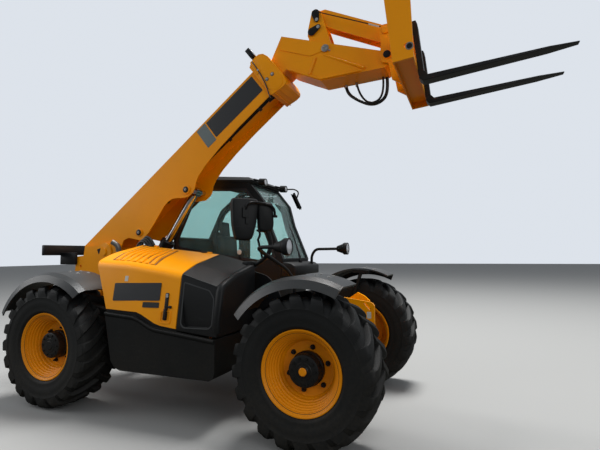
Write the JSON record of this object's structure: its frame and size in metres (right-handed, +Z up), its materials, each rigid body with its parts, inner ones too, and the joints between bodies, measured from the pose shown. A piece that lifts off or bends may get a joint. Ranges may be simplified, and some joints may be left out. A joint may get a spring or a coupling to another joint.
{
  "type": "telehandler",
  "caption": "Telescopic handler with a raised two-section boom, pallet forks, side engine under a hinged bonnet, hollow cab and steered wheels on both axles.",
  "frame": {"origin": "on the ground, under the middle of the machine's length with its boom as parked, on its centre plane", "axes": "+X forward to the fork tips, +Y to the machine's left, +Z up"},
  "size_m": [5.7663, 2.342, 4.0792],
  "materials": {
    "yellow_paint": "semi-gloss paint",
    "wheel_paint": "semi-gloss paint",
    "black_steel": "satin black paint",
    "panel_plastic": "fine grained moulded plastic",
    "tyre_rubber": "matte rubber",
    "hose_rubber": "matte rubber",
    "window_glass": "tinted clear glass",
    "rod_chrome": "polished",
    "fork_steel": "black forged steel",
    "seat_cloth": "woven cloth",
    "engine_iron": "painted casting"
  },
  "bodies": {
    "chassis": {"chassis_frame": "yellow_paint", "engine_block": "engine_iron", "lower_panel": "panel_plastic", "front_pod": "panel_plastic", "cab_frame": "panel_plastic", "cab_roof": "panel_plastic", "cab_glass": "window_glass", "front_cowl": "panel_plastic", "console": "panel_plastic", "seat_base": "black_steel", "seat_cushion": "seat_cloth", "seat_back": "seat_cloth", "left_step_box": "panel_plastic", "right_mirrors": "panel_plastic", "left_mirror": "panel_plastic", "work_lamps": "panel_plastic", "headlamps": "panel_plastic", "rear_lamp_bar": "black_steel", "rear_hitch": "yellow_paint", "exhaust_stub": "black_steel", "front_axle": "black_steel", "rear_axle": "black_steel"},
    "bonnet": {"bonnet": "yellow_paint"},
    "cab_door": {"door_frame": "panel_plastic", "door_glass": "window_glass"},
    "boom": {"outer_boom": "yellow_paint", "boom_pipes": "black_steel"},
    "boom_extension": {"inner_boom": "yellow_paint", "nose_hose": "hose_rubber"},
    "tilt_lever": {"tilt_lever": "yellow_paint"},
    "tilt_link": {"tilt_link": "yellow_paint"},
    "tilt_barrel": {"tilt_barrel": "black_steel"},
    "tilt_rod": {"tilt_rod": "rod_chrome"},
    "lift_barrel": {"lift_barrel": "black_steel"},
    "lift_rod": {"lift_rod": "rod_chrome"},
    "carriage": {"carriage": "yellow_paint", "fork_frame": "yellow_paint"},
    "fork_left": {"fork_left": "fork_steel"},
    "fork_right": {"fork_right": "fork_steel"},
    "knuckle_front_left": {"knuckle_front_left": "black_steel", "mudguard_front_left": "panel_plastic"},
    "wheel_front_left": {"tyre_front_left": "tyre_rubber", "rim_front_left": "wheel_paint"},
    "knuckle_front_right": {"knuckle_front_right": "black_steel", "mudguard_front_right": "panel_plastic"},
    "wheel_front_right": {"tyre_front_right": "tyre_rubber", "rim_front_right": "wheel_paint"},
    "knuckle_rear_left": {"knuckle_rear_left": "black_steel", "mudguard_rear_left": "panel_plastic"},
    "wheel_rear_left": {"tyre_rear_left": "tyre_rubber", "rim_rear_left": "wheel_paint"},
    "knuckle_rear_right": {"knuckle_rear_right": "black_steel", "mudguard_rear_right": "panel_plastic"},
    "wheel_rear_right": {"tyre_rear_right": "tyre_rubber", "rim_rear_right": "wheel_paint"}
  },
  "joints": [
    {"name": "boom_lift", "type": "hinge", "parent": "chassis", "child": "boom", "pos_m": [-2.111, 0, 1.55], "axis": [0, -1, 0], "range_deg": [-44.8, 28]},
    {"name": "boom_extend", "type": "slide", "parent": "boom", "child": "boom_extension", "axis": [0.7902, 0, 0.6129], "range_m": [0, 2.1]},
    {"name": "carriage_tilt", "type": "hinge", "parent": "boom_extension", "child": "carriage", "pos_m": [1.35, 0, 3.415], "axis": [0, 1, 0], "range_deg": [-50, 75], "deforming": ["nose_hose"]},
    {"name": "lever_swing", "type": "hinge", "parent": "boom_extension", "child": "tilt_lever", "pos_m": [0.715, 0, 3.612], "axis": [0, 1, 0], "range_deg": [-33.75, 50.12]},
    {"name": "link_swing", "type": "hinge", "parent": "tilt_lever", "child": "tilt_link", "pos_m": [0.602, 0, 4.022], "axis": [0, 1, 0], "range_deg": [-41.73, 28.15]},
    {"name": "tilt_barrel_swing", "type": "hinge", "parent": "boom_extension", "child": "tilt_barrel", "pos_m": [-0.13273, 0, 3.27434], "axis": [0, 1, 0], "range_deg": [-2.79, 3.69]},
    {"name": "tilt_rod_slide", "type": "slide", "parent": "tilt_barrel", "child": "tilt_rod", "axis": [0.7784, 0, 0.6278], "range_m": [-0.1471, 0.2181]},
    {"name": "lift_barrel_swing", "type": "hinge", "parent": "chassis", "child": "lift_barrel", "pos_m": [-1.853, 0, 0.924], "axis": [0, -1, 0], "range_deg": [-36.76, 23.35]},
    {"name": "lift_rod_slide", "type": "slide", "parent": "lift_barrel", "child": "lift_rod", "axis": [0.559, 0, 0.8292], "range_m": [-0.4704, 0.2959]},
    {"name": "fork_left_shift", "type": "slide", "parent": "carriage", "child": "fork_left", "axis": [0, 1, 0], "range_m": [-0.13, 0.2]},
    {"name": "fork_right_shift", "type": "slide", "parent": "carriage", "child": "fork_right", "axis": [0, -1, 0], "range_m": [-0.13, 0.2]},
    {"name": "bonnet_lid", "type": "hinge", "parent": "chassis", "child": "bonnet", "pos_m": [-0.921, -0.35, 1.56898], "axis": [-0.9936, 0, 0.1128], "range_deg": [0, 60]},
    {"name": "cab_door_hinge", "type": "hinge", "parent": "chassis", "child": "cab_door", "pos_m": [-0.933, 1.115, 1.5], "axis": [0, 0, 1], "range_deg": [0, 95]},
    {"name": "front_left_steer", "type": "hinge", "parent": "chassis", "child": "knuckle_front_left", "pos_m": [0.814, 0.7, 0.605], "axis": [0, 0, 1], "range_deg": [-30, 30]},
    {"name": "front_left_roll", "type": "hinge", "parent": "knuckle_front_left", "child": "wheel_front_left", "pos_m": [0.814, 0.935, 0.605], "axis": [0, 1, 0], "continuous": true},
    {"name": "front_right_steer", "type": "hinge", "parent": "chassis", "child": "knuckle_front_right", "pos_m": [0.814, -0.7, 0.605], "axis": [0, 0, 1], "range_deg": [-30, 30]},
    {"name": "front_right_roll", "type": "hinge", "parent": "knuckle_front_right", "child": "wheel_front_right", "pos_m": [0.814, -0.935, 0.605], "axis": [0, 1, 0], "continuous": true},
    {"name": "rear_left_steer", "type": "hinge", "parent": "chassis", "child": "knuckle_rear_left", "pos_m": [-1.936, 0.7, 0.605], "axis": [0, 0, 1], "range_deg": [-30, 30]},
    {"name": "rear_left_roll", "type": "hinge", "parent": "knuckle_rear_left", "child": "wheel_rear_left", "pos_m": [-1.936, 0.935, 0.605], "axis": [0, 1, 0], "continuous": true},
    {"name": "rear_right_steer", "type": "hinge", "parent": "chassis", "child": "knuckle_rear_right", "pos_m": [-1.936, -0.7, 0.605], "axis": [0, 0, 1], "range_deg": [-30, 30]},
    {"name": "rear_right_roll", "type": "hinge", "parent": "knuckle_rear_right", "child": "wheel_rear_right", "pos_m": [-1.936, -0.935, 0.605], "axis": [0, 1, 0], "continuous": true}
  ],
  "couplings": [
    {"joint": "lever_swing", "follows": "carriage_tilt", "ratio": 0.655},
    {"joint": "link_swing", "follows": "carriage_tilt", "ratio": -0.543},
    {"joint": "tilt_barrel_swing", "follows": "carriage_tilt", "ratio": 0.0359},
    {"joint": "tilt_rod_slide", "follows": "carriage_tilt", "m_per_rad": 0.1628},
    {"joint": "lift_barrel_swing", "follows": "boom_lift", "ratio": 0.7983},
    {"joint": "lift_rod_slide", "follows": "boom_lift", "m_per_rad": 0.5952},
    {"joint": "front_right_steer", "follows": "front_left_steer", "ratio": 1},
    {"joint": "rear_right_steer", "follows": "rear_left_steer", "ratio": 1}
  ]
}
